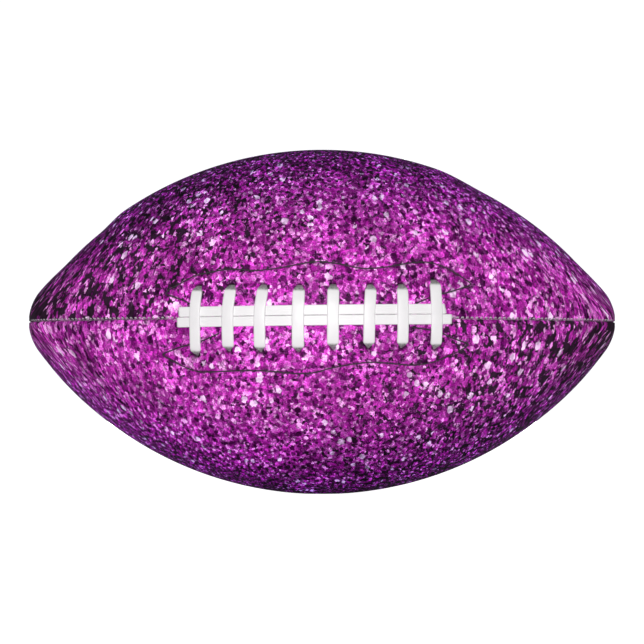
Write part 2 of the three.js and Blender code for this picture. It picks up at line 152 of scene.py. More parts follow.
def profile(run):
    """x, radius and outward normal (along X, radial) at a distance along the meridian from the left tip."""
    run = np.asarray(run, float)
    left = np.clip(run / NOSE_RADIUS, 0, NOSE_ANGLE)
    body = np.clip(NOSE_ANGLE + (run - NOSE_RUN) / BODY_ARC_RADIUS, NOSE_ANGLE, math.pi - NOSE_ANGLE)
    right = math.pi - np.clip((MERIDIAN - run) / NOSE_RADIUS, 0, NOSE_ANGLE)
    on_left = run < NOSE_RUN
    on_right = run > NOSE_RUN + BODY_RUN
    angle = np.where(on_left, left, np.where(on_right, right, body))
    on_nose = on_left | on_right
    radius = np.where(
        on_nose, NOSE_RADIUS * np.sin(angle), BODY_ARC_RADIUS * np.sin(angle) - ARC_CENTRE_DEPTH
    )
    nose_x = np.where(on_left, -NOSE_CENTRE, NOSE_CENTRE) - NOSE_RADIUS * np.cos(angle)
    x = np.where(on_nose, nose_x, -BODY_ARC_RADIUS * np.cos(angle))
    return x, radius, -np.cos(angle), np.sin(angle)


def run_at(x):
    """The distance along the meridian at an x on the body arc."""
    return NOSE_RUN + BODY_ARC_RADIUS * (np.arccos(-np.asarray(x, float) / BODY_ARC_RADIUS) - NOSE_ANGLE)


def on_ball(run, turn, height):
    """Points on the ball. turn is the angle about X from the lacing, positive upwards."""
    x, radius, normal_x, normal_r = profile(run)
    out = radius + normal_r * height
    return np.stack([x + normal_x * height, -out * np.cos(turn), out * np.sin(turn)], -1)


def normal_on_ball(run, turn):
    _, _, normal_x, normal_r = profile(run)
    return np.stack([normal_x + 0 * turn, -normal_r * np.cos(turn), normal_r * np.sin(turn)], -1)


def turn_at(x, z):
    """The angle about X of the front surface's point at this x and z."""
    return np.arcsin(np.asarray(z, float) / profile(run_at(x))[1])


# ---------------------------------------------------------------- mesh helpers

def signed_volume(points, faces):
    """Positive when the faces of a closed mesh look outwards."""
    total = 0.0
    corners = np.asarray(faces[:, :4])
    a, b, c, d = (points[corners[:, k]] for k in range(4))
    total += np.einsum("ij,ij->i", a, np.cross(b, c)).sum()
    total += np.einsum("ij,ij->i", a, np.cross(c, d)).sum()
    return total


def new_object(name, points, faces, material):
    """A smooth mesh object. faces is an array of quads, in which a triangle repeats its last corner."""
    if signed_volume(points, faces) < 0:
        faces = faces[:, ::-1]
    quads = [tuple(dict.fromkeys(face)) for face in faces.tolist()]
    mesh = bpy.data.meshes.new(name)
    mesh.from_pydata((points * MM).tolist(), [], quads)
    mesh.polygons.foreach_set("use_smooth", np.ones(len(mesh.polygons), bool))
    mesh.materials.append(material)
    made = bpy.data.objects.new(name, mesh)
    bpy.context.scene.collection.objects.link(made)
    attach(made, "root")
    return made


def ring_faces(rings, sides, base=0):
    """Quads between neighbouring rings of points, each ring closed on itself."""
    ring, side = np.meshgrid(np.arange(rings - 1), np.arange(sides), indexing="ij")
    here = base + ring * sides + side
    beside = base + ring * sides + (side + 1) % sides
    return np.stack([here, beside, beside + sides, here + sides], -1).reshape(-1, 4)


def cap_faces(first, sides, centre):
    """Triangles from a ring of points to one centre point."""
    side = np.arange(sides)
    here = first + side
    beside = first + (side + 1) % sides
    middle = np.full(sides, centre)
    return np.stack([here, beside, middle, middle], -1)


def closed_rings(rings):
    """A closed surface through rings of points (rings, sides, 3), with a point closing each end."""
    count, sides, _ = rings.shape
    points = np.concatenate([rings.reshape(-1, 3), rings[0].mean(0)[None], rings[-1].mean(0)[None]])
    first_cap = cap_faces(0, sides, count * sides)[:, ::-1]
    last_cap = cap_faces((count - 1) * sides, sides, count * sides + 1)
    return points, np.concatenate([ring_faces(count, sides), first_cap, last_cap])


def sweep(path, normals, sections):
    """A closed solid along a path. Each section is a loop of (across, up) offsets, up along the normal."""
    tangent = np.gradient(path, axis=0)
    tangent /= np.linalg.norm(tangent, axis=1)[:, None]
    across = np.cross(tangent, normals)
    across /= np.linalg.norm(across, axis=1)[:, None]
    up = np.cross(across, tangent)
    rings = path[:, None] + sections[..., :1] * across[:, None] + sections[..., 1:] * up[:, None]
    return closed_rings(rings)


def round_section(radius, sides=8):
    angle = np.arange(sides) * 2 * math.pi / sides
    return np.stack([radius * np.cos(angle), radius * np.sin(angle)], -1)


def smooth_path(points, step):
    """A Catmull-Rom curve through the rows of points, resampled about every step."""
    points = np.asarray(points, float)
    padded = np.vstack([2 * points[0] - points[1], points, 2 * points[-1] - points[-2]])
    pieces = []
    for i in range(1, len(padded) - 2):
        p0, p1, p2, p3 = padded[i - 1 : i + 3]
        count = max(2, int(math.ceil(np.linalg.norm(p2 - p1) / step)))
        t = (np.arange(count) / count)[:, None]
        linear = (p2 - p0) * t
        square = (2 * p0 - 5 * p1 + 4 * p2 - p3) * t**2
        cubic = (3 * p1 - p0 - 3 * p2 + p3) * t**3
        pieces.append(0.5 * (2 * p1 + linear + square + cubic))
    pieces.append(points[-1:])
    return np.vstack(pieces)


def graded(end, spacing):
    """Positions from 0 to end whose steps follow spacing(position)."""
    fine = np.linspace(0, end, 4001)
    middle = (fine[1:] + fine[:-1]) / 2
    count = np.concatenate([[0], np.cumsum(np.diff(fine) / spacing(middle))])
    steps = int(round(count[-1]))
    return np.interp(np.linspace(0, count[-1], steps + 1), count, fine)


def smoothstep(low, high, value):
    t = np.clip((value - low) / (high - low), 0, 1)
    return t * t * (3 - 2 * t)


# ---------------------------------------------------------------- cover panels

def facing_line(side):
    """The stitch line of a facing as (x, z)."""
    return smooth_path(UPPER_FACING_LINE if side > 0 else LOWER_FACING_LINE, 1.0)


def distance_to_line(x, z, line):
    """How far each point is from an open line, and whether the line, if closed, would hold it."""
    best = np.full(x.shape, 1e9)
    inside = np.zeros(x.shape, bool)
    for (ax, az), (bx, bz) in zip(line, np.roll(line, -1, 0)):
        last = ax == line[-1][0] and az == line[-1][1]
        if not last:
            length = (bx - ax) ** 2 + (bz - az) ** 2
            along = np.clip(((x - ax) * (bx - ax) + (z - az) * (bz - az)) / length, 0, 1)
            best = np.minimum(best, np.hypot(x - ax - along * (bx - ax), z - az - along * (bz - az)))
        if az != bz:
            crosses = (az > z) != (bz > z)
            inside ^= crosses & (x < (bx - ax) * (z - az) / (bz - az) + ax)
    return best, inside


def hole_shape(x, across, hole_x, hole_across):
    """Elliptical distance from a lace hole's middle: 1 on its rim."""
    return np.hypot((x - hole_x) / HOLE_HALF_WIDTH, (across - hole_across) / HOLE_HALF_HEIGHT)


def edge_roll(distance, roll):
    """How far a panel's edge has rolled down into its seam."""
    near = np.clip(1 - distance / roll, 0, 1)
    return roll * (1 - np.sqrt(1 - near**2))


def top_sag(x):
    """How far the shoulders beside the top seam lie below the smooth ball."""
    sag = np.zeros_like(x)
    for start, full_from, full_to, end, depth in TOP_SAGS:
        sag += depth * smoothstep(start, full_from, x) * (1 - smoothstep(full_to, end, x))
    return sag


def swollen_height(x, radius, run, to_first, to_second):
    """A panel swells between its seams, rolls down into them and puckers at every stitch."""
    nearest = np.minimum(to_first, to_second)
    on_nose = smoothstep(90, 135, np.abs(x))
    pillow = PILLOW_BODY + (PILLOW_NOSE - PILLOW_BODY) * on_nose
    reach = np.minimum(PILLOW_REACH, 0.45 * radius + 0.1)
    height = pillow * (1 - np.exp(-to_first / reach)) * (1 - np.exp(-to_second / reach))
    height -= edge_roll(nearest, np.minimum(EDGE_ROLL, 0.3 * radius + 0.05))
    pucker = 0.5 + 0.5 * np.cos(2 * math.pi * run / SEAM_PITCH)
    height -= PUCKER_DEPTH * pucker * np.exp(-((nearest - PUCKER_FROM_SEAM) ** 2))
    return height


def lacing_detail(side, x, z, across):
    """The facing's stitch groove and the lifted cover inside it, and the dimpled lace holes, with painted
    shade along the groove and in the holes.
    """
    away, inside = distance_to_line(x, z, facing_line(side))
    height = FACING_LIFT * np.where(inside, smoothstep(0, 3, away), 0)
    height -= STITCH_GROOVE * np.exp(-((away / 0.75) ** 2))
    shade = 0.5 * np.exp(-((away / 0.7) ** 2))
    for bar in BARS:
        hole_x = bar["upper"] if side > 0 else bar["lower"]
        hole_across = bar["up"] if side > 0 else bar["down"]
        rim = hole_shape(x, across, hole_x, hole_across)
        height -= HOLE_DEPTH * (1 - smoothstep(0.55, 1.15, rim))
        height += HOLE_RIM * np.exp(-(((rim - 1.45) / 0.35) ** 2))
        shade = np.maximum(shade, 1 - smoothstep(0.7, 1.05, rim))
    return height, shade


def valve_detail(x, across):
    """The cover dips to the valve, with a slight ring round it, and painted shade darkens the dip."""
    rim = np.hypot(x, across) / VALVE_RADIUS
    height = VALVE_RING * np.exp(-(((rim - 1.3) / 0.2) ** 2))
    height -= VALVE_DIP * (1 - smoothstep(0.93, 1.12, rim))
    return height, 1 - smoothstep(0.9, 1.05, rim)


def outer_height(panel, run, turn):
    """Height of a panel's outer surface over the smooth ball, and how much painted shade its holes, grooves
    and valve dip get.
    """
    x, radius, _, _ = profile(run + 0 * turn)
    to_first = radius * turn
    height = swollen_height(x, radius, run, to_first, radius * (math.pi / 2 - turn))
    if panel["side"] > 0:
        height -= top_sag(x) * smoothstep(0.8, 1.35, turn)
    shade = np.zeros_like(height)
    if panel["front"]:
        z = panel["side"] * radius * np.sin(turn)
        detail, shade = lacing_detail(panel["side"], x, z, to_first)
        height += detail
    elif panel["side"] > 0:
        detail, shade = valve_detail(x, to_first - radius * math.pi / 4)
        height += detail
    return height, shade


def panel_loops(panel, runs, turns):
    """Loops round a panel's section: its outer face, a turned-in edge, its inner face, the other edge."""
    _, radius, _, _ = profile(runs)
    size = np.minimum(1, radius / 16)
    edge = np.minimum(TURNED_EDGE_WIDTH, 0.3 * radius) / radius
    outer, shade = outer_height(panel, runs[:, None], turns[None, :])

    loop_turn = [np.repeat(turns[None, :], len(runs), 0)]
    loop_height = [outer]

    def column(turn, inset):
        loop_turn.append((turn + 0 * radius)[:, None])
        loop_height.append((-inset * size)[:, None])

    quarter = math.pi / 2
    column(quarter, TURNED_EDGE_INSET)
    column(quarter - edge, TURNED_EDGE_INSET)
    for part in np.linspace(1, 0, INNER_ROWS):
        column(edge + (quarter - 2 * edge) * part, COVER_INSET)
    column(edge, TURNED_EDGE_INSET)
    column(0, TURNED_EDGE_INSET)
    loop_turn = np.hstack(loop_turn)
    loop_height = np.hstack(loop_height)
    shades = np.zeros_like(loop_height)
    shades[:, : len(turns)] = shade
    return loop_turn, loop_height, shades


def flat_pattern(runs, turn):
    """Where each point lies on the flat print: it bows towards the noses and narrows beside them."""
    _, radius, _, _ = profile(runs)
    from_middle = runs - MERIDIAN / 2
    along = from_middle * (1 + PRINT_BOW * (1 - np.cos(turn)))
    narrowing = 1 - PRINT_NARROWING * np.abs(2 * from_middle / MERIDIAN) ** 1.5
    across = radius * turn * narrowing
    return along, across


def seam_spacing(turn, coarse, fine_reach):
    """Row spacing across a panel: finest beside both seams, fine as far as fine_reach from the first one."""
    beside = (turn < SEAM_BAND) | (turn > math.pi / 2 - SEAM_BAND)
    return np.where(beside, FINE_TURN * 0.6, np.where(turn < fine_reach, FINE_TURN, coarse))


def panel_grid(panel):
    """Where a panel's rows lie along the ball and across it."""
    grid = FRONT_GRID if panel["front"] else BACK_GRID
    middle = MERIDIAN / 2
    runs = graded(MERIDIAN, lambda s: np.where(np.abs(s - middle) < grid["fine_run"], FINE_ROW, grid["row"]))
    turns = graded(math.pi / 2, lambda t: seam_spacing(t, grid["turn"], grid["fine_turn"]))
    return runs[1:-1], turns


def cover_panel(panel, material):
    """One cover: a closed shell with its edges turned in, and the two maps its print is laid out by."""
    runs, turns = panel_grid(panel)
    loop_turn, loop_height, shades = panel_loops(panel, runs, turns)
    turn = loop_turn if panel["front"] else math.pi - loop_turn
    points = on_ball(runs[:, None], panel["side"] * turn, loop_height)
    for axis, side in ((1, -1 if panel["front"] else 1), (2, panel["side"])):
        points[..., axis] = side * np.maximum(side * points[..., axis], PANEL_CLEARANCE)
    mesh_points, faces = closed_rings(points)
    panel_object = new_object(panel["name"], mesh_points, faces, material)
    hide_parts(panel["node"])

    turned = panel["print"]
    from_middle = (runs[:, None] - MERIDIAN / 2) + 0 * loop_turn
    paint(panel_object, "shade", np.append(shades.ravel(), [0, 0]))
    write_uv(panel_object, "place", with_caps(turned * from_middle / 100, loop_turn / (math.pi / 2)))
    along, across = flat_pattern(runs[:, None], loop_turn)
    write_uv(panel_object, "print", turned * with_caps(along, across) / 100 + np.array(panel["shift"]))


def with_caps(first, second):
    """Pairs of values for every point of closed_rings, its two closing points included."""
    pairs = np.stack([first, second], -1)
    return np.vstack([pairs.reshape(-1, 2), pairs[0].mean(0), pairs[-1].mean(0)])


def paint(made, name, values):
    """Writes one number for every point of a mesh, for its material to read."""
    attribute = made.data.attributes.new(name, "FLOAT", "POINT")
    attribute.data.foreach_set("value", np.asarray(values, np.float32))


def write_uv(made, name, values):
    """Writes a UV map from one pair of values for every point of a mesh."""
    corners = np.zeros(len(made.data.loops), np.int64)
    made.data.loops.foreach_get("vertex_index", corners)
    layer = made.data.uv_layers.new(name=name)
    layer.data.foreach_set("uv", np.asarray(values, np.float32)[corners].ravel())


PANELS = [
    {"name": "panel_front_upper", "node": "cover_panel_front_upper", "front": True, "side": 1, "print": 1,
     "shift": (0, 0)},
    {"name": "panel_front_lower", "node": "cover_panel_front_lower", "front": True, "side": -1, "print": -1,
     "shift": (0, 0)},
    {"name": "panel_back_upper", "node": "cover_panel_back_upper", "front": False, "side": 1, "print": -1,
     "shift": (5, 3)},
    {"name": "panel_back_lower", "node": "cover_panel_back_lower", "front": False, "side": -1, "print": 1,
     "shift": (5, 3)},
]


# ---------------------------------------------------------------- threads

SEAMS = [
    {"node": "seam_thread_lace_left", "turn": 0, "from": 6, "to": run_at(-68)},
    {"node": "seam_thread_lace_right", "turn": 0, "from": run_at(60.7), "to": MERIDIAN - 6},
    {"node": "seam_thread_top", "turn": math.pi / 2, "from": 6, "to": MERIDIAN - 6},
    {"node": "seam_thread_bottom", "turn": -math.pi / 2, "from": 6, "to": MERIDIAN - 6},
    {"node": "seam_thread_back", "turn": math.pi, "from": 6, "to": MERIDIAN - 6},
]


def seam_thread(seam, material):
    """Lock stitches along a seam: the thread shows on one edge, then dives between the panels."""
    run = np.arange(seam["from"], seam["to"], SEAM_PITCH / 10)
    x, radius, _, _ = profile(run)
    phase = 2 * math.pi * run / SEAM_PITCH
    shown = smoothstep(0.0, 0.6, -np.cos(phase))
    side = 0.15 + 0.75 * shown
    height = -1.7 + 1.6 * shown
    if seam["node"] == "seam_thread_top":
        height -= top_sag(x)
    turn = seam["turn"] + side / radius
    path = on_ball(run, turn, height)
    section = np.repeat(round_section(SEAM_THREAD_RADIUS, 6)[None], len(run), 0)
    points, faces = sweep(path, normal_on_ball(run, turn), section)
    made = new_object("stitches_" + seam["node"][12:], points, faces, material)
    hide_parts(seam["node"])


def facing_stitching(side, material):
    """The dark lock stitching of a facing, sunk in its groove in the cover."""
    line = smooth_path(facing_line(side)[::4], 0.35)
    x, z = line[:, 0], line[:, 1]
    run = run_at(x)
    turn = turn_at(x, z)
    steps = np.linalg.norm(np.diff(line, axis=0), axis=1)
    travelled = np.concatenate([[0], np.cumsum(steps)])
    height = 0.2 + 0.14 * np.cos(2 * math.pi * travelled / FACING_STITCH_PITCH)
    path = on_ball(run, turn, height)
    section = np.repeat(round_section(FACING_THREAD_RADIUS, 6)[None], len(run), 0)
    points, faces = sweep(path, normal_on_ball(run, turn), section)
    place = "upper" if side > 0 else "lower"
    made = new_object("facing_stitches_" + place, points, faces, material)
    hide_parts("facing_stitching_" + place)


# ---------------------------------------------------------------- lacing

def strip_section(width, thickness, corner):
    """A flat moulded strip: a ribbed, slightly crowned top, rounded edges and a flat underside."""
    half_width, half_thick = width / 2, thickness / 2
    across = np.linspace(-(half_width - corner), half_width - corner, 25)
    ribs = LACE_RIB * np.cos(5 * math.pi * across / half_width)
    crown = LACE_CROWN * (1 - (across / half_width) ** 2)
    top = np.stack([across, half_thick + crown + ribs], -1)
    angle = np.linspace(math.pi / 2, -math.pi / 2, 9)[1:-1]
    right = np.stack([half_width - corner + corner * np.cos(angle), half_thick * np.sin(angle)], -1)
    bottom = np.array([[half_width - corner, -half_thick], [-(half_width - corner), -half_thick]])
    left = right[::-1] * np.array([-1, 1])
    return np.vstack([top, right, bottom, left])


def lace_strand(strand, material):
    """One lengthwise strand, its ends cut a little askew."""
    runs = np.arange(run_at(strand["from"]), run_at(strand["to"]), 0.8)
    x = profile(runs)[0]
    middle = STRAND_MIDDLE_Z + x * math.tan(STRAND_TILT) + strand["side"] * (STRAND_GAP + LACE_WIDTH) / 2
    turn = turn_at(x, middle)
    height = np.full_like(runs, 0.25 + LACE_THICKNESS / 2)
    section = np.repeat(strip_section(LACE_WIDTH, LACE_THICKNESS, 0.2)[None], len(runs), 0)
    from_end = np.minimum(np.arange(len(runs)), np.arange(len(runs))[::-1])
    section = section * np.where(from_end < 1, 0.9, 1)[:, None, None]
    path = on_ball(runs, turn, height)
    points, faces = sweep(path, normal_on_ball(runs, turn), section)
    last_rings = points[:, 0] > profile(runs[-4])[0]
    points[last_rings, 0] += strand["slant"] * (points[last_rings, 2] - middle[-1]) / LACE_WIDTH
    made = new_object(strand["node"] + "_strip", points, faces, material)
    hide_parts(strand["node"])


def bar_end(distance):
    """Rows of (distance from the seam, height, narrowing) from inside the ball up onto the cover."""
    return [
        (distance - 0.2, -INNER_LACE_INSET + 1.2, 0.5), (distance, -3, 0.5), (distance, -1.7, 0.52),
        (distance - 0.8, -0.5, 0.66), (distance - 1.8, 0.6, 0.84), (distance - 2.8, 1.35, 0.97),
        (distance - 5, 1.9, 1),
    ]


def pointed_bar_end(distance):
    """The same, for the lower end, where the strip gathers to a point."""
    return [
        (distance - 0.2, -INNER_LACE_INSET + 1.2, 0.5), (distance, -3, 0.3), (distance, -1.6, 0.22),
        (distance - 0.8, -0.4, 0.4), (distance - 1.8, 0.7, 0.74), (distance - 2.7, 1.3, 0.98),
        (distance - 5, 1.85, 1),
    ]


def bar_route(bar):
    """Rows of (x, across, height, width) over one bar, from its upper hole to its lower one."""
    over = bar_end(bar["up"])
    over += [(7.4, 2.35, 1), (4, 2.5, 1), (0.5, 2.55, 1), (-2, 2.5, 1), (-4.4, 2.3, 1)]
    over += [(-across, height, narrow) for across, height, narrow in pointed_bar_end(bar["down"])[::-1]]
    rows = []
    for across, height, narrow in over:
        lean = smoothstep(1, bar["up"], across)
        x = bar["lower"] + (bar["upper"] - bar["lower"]) * lean
        rows.append([x, across, height, bar["width"] * narrow])
    return rows


def lace_route():
    """Rows of (x, across, height, width) along the whole crossing lace, in and out of its holes."""
    first, last = BARS[0], BARS[-1]
    inner = -INNER_LACE_INSET
    route = [
        [first["upper"] - TAIL_LENGTH, first["up"] - 2, inner, LACE_WIDTH],
        [first["upper"] - 2.5, first["up"] - 0.8, inner, LACE_WIDTH],
    ]
    for bar, ahead in zip(BARS, BARS[1:]):
        route += bar_route(bar)
        route += [
            [bar["lower"] + 1, 2.2 - bar["down"], inner, LACE_PINCHED_WIDTH],
            [(bar["lower"] + ahead["upper"]) / 2, 0, inner, LACE_WIDTH],
            [ahead["upper"] - 1, ahead["up"] - 2.2, inner, LACE_PINCHED_WIDTH],
        ]
    route += bar_route(last)
    route += [
        [last["lower"] + 2.5, 0.8 - last["down"], inner, LACE_WIDTH],
        [last["lower"] + TAIL_LENGTH, 2 - last["down"], inner, LACE_WIDTH],
    ]
    return smooth_path(route, 0.45)


def lace_directions(path, surface):
    """Which way the strip's width and its top point, all along its path."""
    tangent = np.gradient(path, axis=0)
    tangent /= np.linalg.norm(tangent, axis=1)[:, None]
    # The width keeps to the ball's surface, points towards +X and swings smoothly where the strip dives.
    wide = np.cross(tangent, surface)
    wide[wide[:, 0] < -1e-3] *= -1
    flatness = np.linalg.norm(wide, axis=1)
    wide[:, 0] += (1 - flatness) * 1.5
    wide -= tangent * np.einsum("ij,ij->i", wide, tangent)[:, None]
    wide /= np.linalg.norm(wide, axis=1)[:, None]
    for _ in range(4):
        wide[1:-1] = (wide[:-2] + 2 * wide[1:-1] + wide[2:]) / 4
    up = np.cross(wide, tangent)
    up /= np.linalg.norm(up, axis=1)[:, None]
    return wide, up


def lace_hole_shade(x, across):
    """How much painted shade the strip gets: only where it goes down into its holes."""
    nearest_bar = np.abs(x[:, None] - [bar["upper"] for bar in BARS]).argmin(1)
    up = np.array([bar["up"] for bar in BARS])[nearest_bar]
    down = np.array([bar["down"] for bar in BARS])[nearest_bar]
    into_upper = smoothstep(-3.3, -2.2, across - up)
    into_lower = smoothstep(-2.9, -1.9, -across - down)
    return np.maximum(into_upper, into_lower)


def crossing_lace(material):
    """The one strip that makes all the bars."""
    x, across, height, width = lace_route().T
    run = run_at(x)
    turn = across / profile(run)[1]
    path = on_ball(run, turn, height)
    wide, up = lace_directions(path, normal_on_ball(run, turn))
    section = np.stack([strip_section(w, LACE_THICKNESS, 0.55) for w in width])
    rings = path[:, None] + section[..., :1] * wide[:, None] + section[..., 1:] * up[:, None]
    points, faces = closed_rings(rings)
    made = new_object("crossing_lace_strip", points, faces, material)
    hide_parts("crossing_lace")
    # Painted shade where the strip goes down into its holes.
    shade = np.repeat(lace_hole_shade(x, across), rings.shape[1])
    paint(made, "shade", np.append(shade, [0, 0]))


# ---------------------------------------------------------------- valve

def turned_solid(profile_points, sides=48):
    """A closed solid of revolution about Z from (radius, z) pairs that close on themselves."""
    pairs = np.asarray(profile_points, float)
    angle = np.arange(sides) * 2 * math.pi / sides
    rings = np.stack([
        pairs[None, :, 0] * np.cos(angle)[:, None],
        pairs[None, :, 0] * np.sin(angle)[:, None],
        np.repeat(pairs[None, :, 1], sides, 0),
    ], -1)
    count = len(pairs)
    faces = ring_faces(sides, count)
    side = np.arange(count)
    last = (sides - 1) * count
    closing = np.stack([last + side, last + (side + 1) % count, (side + 1) % count, side], -1)
    return rings.reshape(-1, 3), np.concatenate([faces, closing])


def place_valve(points):
    """From the valve's own axis to the middle of the upper back panel."""
    lean = math.pi / 4
    y = points[:, 1] * math.cos(lean) + (points[:, 2] + DIAMETER / 2) * math.sin(lean)
    z = -points[:, 1] * math.sin(lean) + (points[:, 2] + DIAMETER / 2) * math.cos(lean)
    return np.stack([points[:, 0], y, z], -1)


def valve(rubber, core_material):
    """The rubber housing and its core, each turned from an outline of (radius, height over the ball)."""
    top = -VALVE_INSET + PILLOW_BODY * 0.9
    housing = [
        (1.15, top - 0.75), (1.3, top - 0.45), (1.7, top - 0.25), (2.2, top - 0.2), (2.5, top - 0.12),
        (2.75, top), (3.2, top + 0.08), (3.6, top), (3.82, top - 0.2), (3.92, top - 0.55), (3.95, top - 6),
        (3.95, -7.9), (10.6, -7.9), (11, -8.2), (11, -8.7), (10.6, -9), (4.1, -9), (3.9, -14.6), (3.5, -15),
        (2.6, -15), (2.5, -14.5), (2.5, top - 2.6), (1.15, top - 2.2),
    ]
    core = [(0.45, -3.4), (0.45, -14.6), (2.1, -14.7), (2.2, -14.4), (2.2, -3.6), (2.0, -3.3)]
    for name, node, slot, outline, material in (
        ("valve_rubber", "valve_housing", "valve", housing, rubber),
        ("valve_insert", "valve_core", "valve_core", core, core_material),
    ):
        points, faces = turned_solid(outline)
        made = new_object(name, place_valve(points), faces, material)
        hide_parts(node)


# ---------------------------------------------------------------- materials

class Tree:
    """Short names for building a material's nodes. Inputs may be numbers, tuples or other nodes' sockets."""

    def __init__(self, name):
        self.material = bpy.data.materials.new(name)
        self.material.use_nodes = True
        self.nodes = self.material.node_tree.nodes
        self.links = self.material.node_tree.links
        self.shader = self.nodes["Principled BSDF"]

    def feed(self, socket, value):
        if isinstance(value, bpy.types.NodeSocket):
            self.links.new(value, socket)
        elif value is not None:
            socket.default_value = value

    def node(self, kind, **settings):
        made = self.nodes.new(kind)
        for key, value in settings.items():
            setattr(made, key, value)
        return made

    def math(self, operation, a, b=None, c=None):
        made = self.node("ShaderNodeMath", operation=operation)
        for socket, value in zip(made.inputs, (a, b, c)):
            self.feed(socket, value)
        return made.outputs[0]

    def vector(self, operation, a, b=None):
        made = self.node("ShaderNodeVectorMath", operation=operation)
        self.feed(made.inputs[0], a)
        self.feed(made.inputs[1], b)
        return made.outputs[0]

    def scale(self, a, amount):
        made = self.node("ShaderNodeVectorMath", operation="SCALE")
        self.feed(made.inputs[0], a)
        self.feed(made.inputs["Scale"], amount)
        return made.outputs[0]

    def mix(self, amount, a, b, blend="MIX"):
        made = self.node("ShaderNodeMix", data_type="RGBA", blend_type=blend)
        self.feed(made.inputs[0], amount)
        self.feed(made.inputs[6], a)
        self.feed(made.inputs[7], b)
        return made.outputs[2]

    def ramp(self, amount, stops):
        made = self.node("ShaderNodeValToRGB")
        elements = made.color_ramp.elements
        while len(elements) < len(stops):
            elements.new(0.5)
        for element, (position, color) in zip(elements, stops):
            element.position = position
            element.color = (*color, 1)
        self.feed(made.inputs[0], amount)
        return made.outputs[0]

    def steps(self, amount, low, high):
        """0 below low, 1 above high, smooth between."""
        made = self.node("ShaderNodeMapRange", interpolation_type="SMOOTHSTEP")
        self.feed(made.inputs["Value"], amount)
        self.feed(made.inputs["From Min"], low)
        self.feed(made.inputs["From Max"], high)
        return made.outputs[0]

    def noise(self, place, scale, detail=2, roughness=0.5):
        made = self.node("ShaderNodeTexNoise")
        self.feed(made.inputs["Vector"], place)
        self.feed(made.inputs["Scale"], scale)
        self.feed(made.inputs["Detail"], detail)
        self.feed(made.inputs["Roughness"], roughness)
        return made.outputs[0]

    def cells(self, place):
        """Random cells, on average 1 across."""
        made = self.node("ShaderNodeTexVoronoi", voronoi_dimensions="2D")
        self.feed(made.inputs["Vector"], place)
        self.feed(made.inputs["Scale"], 1)
        return made

    def split(self, vector):
        made = self.node("ShaderNodeSeparateXYZ")
        self.feed(made.inputs[0], vector)
        return made.outputs[0], made.outputs[1], made.outputs[2]

    def grey(self, value):
        made = self.node("ShaderNodeCombineColor")
        for socket in made.inputs:
            self.feed(socket, value)
        return made.outputs[0]

    def attribute(self, name):
        return self.node("ShaderNodeAttribute", attribute_name=name).outputs["Fac"]

    def uv(self, name):
        return self.node("ShaderNodeUVMap", uv_map=name).outputs[0]

    def place(self):
        return self.node("ShaderNodeTexCoord").outputs["Object"]

    def bump(self, height, strength, distance):
        made = self.node("ShaderNodeBump")
        made.inputs["Strength"].default_value = strength
        made.inputs["Distance"].default_value = distance
        self.feed(made.inputs["Height"], height)
        self.feed(self.shader.inputs["Normal"], made.outputs[0])

    def set(self, **values):
        for key, value in values.items():
            self.feed(self.shader.inputs[key.replace("_", " ")], value)


def glitter_flakes(tree, place, cell_mm, fill, shift):
    """A scattering of hexagonal flakes: inside one or not, its two random numbers, a slope across it."""
    moved = tree.vector("ADD", place, shift)
    scaled = tree.scale(moved, 100 / cell_mm)
    cells = tree.cells(scaled)
    random_one, random_two, random_three = tree.split(cells.outputs["Color"])
    from_middle = tree.vector("SUBTRACT", scaled, cells.outputs["Position"])
    turn = tree.node("ShaderNodeVectorRotate", rotation_type="Z_AXIS")
    tree.feed(turn.inputs["Vector"], from_middle)
    tree.feed(turn.inputs["Angle"], tree.math("MULTIPLY", random_three, 2 * math.pi))
    across, along, _ = tree.split(turn.outputs[0])
    fold_x = tree.math("ABSOLUTE", across)
    fold_y = tree.math("ABSOLUTE", along)
    slanted = tree.math("ADD", tree.math("MULTIPLY", fold_x, 0.5), tree.math("MULTIPLY", fold_y, 0.866))
    hexagon = tree.math("MAXIMUM", fold_x, slanted)
    size = tree.math("ADD", tree.math("MULTIPLY", random_two, 0.16), fill)
    inside = tree.steps(hexagon, tree.math("MULTIPLY", size, 1.1), tree.math("MULTIPLY", size, 0.82))
    return inside, random_one, random_two, across


FLAKE_COLOURS = [
    (0.0, (0.035, 0.001, 0.035)),
    (0.18, (0.09, 0.003, 0.085)),
    (0.30, (0.28, 0.011, 0.235)),
    (0.52, (0.43, 0.023, 0.36)),
    (0.74, (0.64, 0.068, 0.55)),
    (0.90, (0.84, 0.21, 0.75)),
    (0.99, (0.97, 0.46, 0.90)),
]
CHARCOAL = (0.034, 0.014, 0.033, 1)
CREASE_PINK = (0.85, 0.25, 0.78, 1)
# Painted shade for the lace holes, the stitch grooves and the valve's dip.
HOLE_PAINTED_SHADE = (0.012, 0.012, 0.012, 1)
FRAGMENT_MM = 1.55

# Flakes, each layer over the last: cell size in mm, smallest flake in a cell, shift, share of cells filled.
FLAKE_LAYERS = [
    (2.8, 0.32, (0.31, 0.17, 0), 0.5),
    (4.5, 0.32, (0.73, 0.41, 0), 0.5),
    (3.5, 0.30, (1.17, 0.89, 0), 0.36),
]
# Flakes that catch the light: cell size in mm, smallest flake, shift, how rare they are, colour.
GLINT_LAYERS = [
    (4.6, 0.26, (1.9, 0.53, 0), 0.95, (1.0, 0.68, 1.0, 1)),
    (2.0, 0.27, (2.3, 1.53, 0), 0.955, (0.98, 0.44, 0.90, 1)),
]

# Print tone and painted shade across a panel, from the lace seam's side to the far seam's side: darker and
# more violet towards the far seam, where the ball turns away from the light.
PRINT_TONE_AND_SHADE = [
    (0.0, (1.0, 1.0, 1.0)),
    (0.30, (0.98, 0.98, 0.99)),
    (0.45, (0.85, 0.93, 0.92)),
    (0.60, (0.74, 0.90, 0.90)),
    (0.80, (0.68, 0.88, 0.99)),
    (0.92, (0.55, 0.74, 0.88)),
    (1.0, (0.35, 0.46, 0.60)),
]


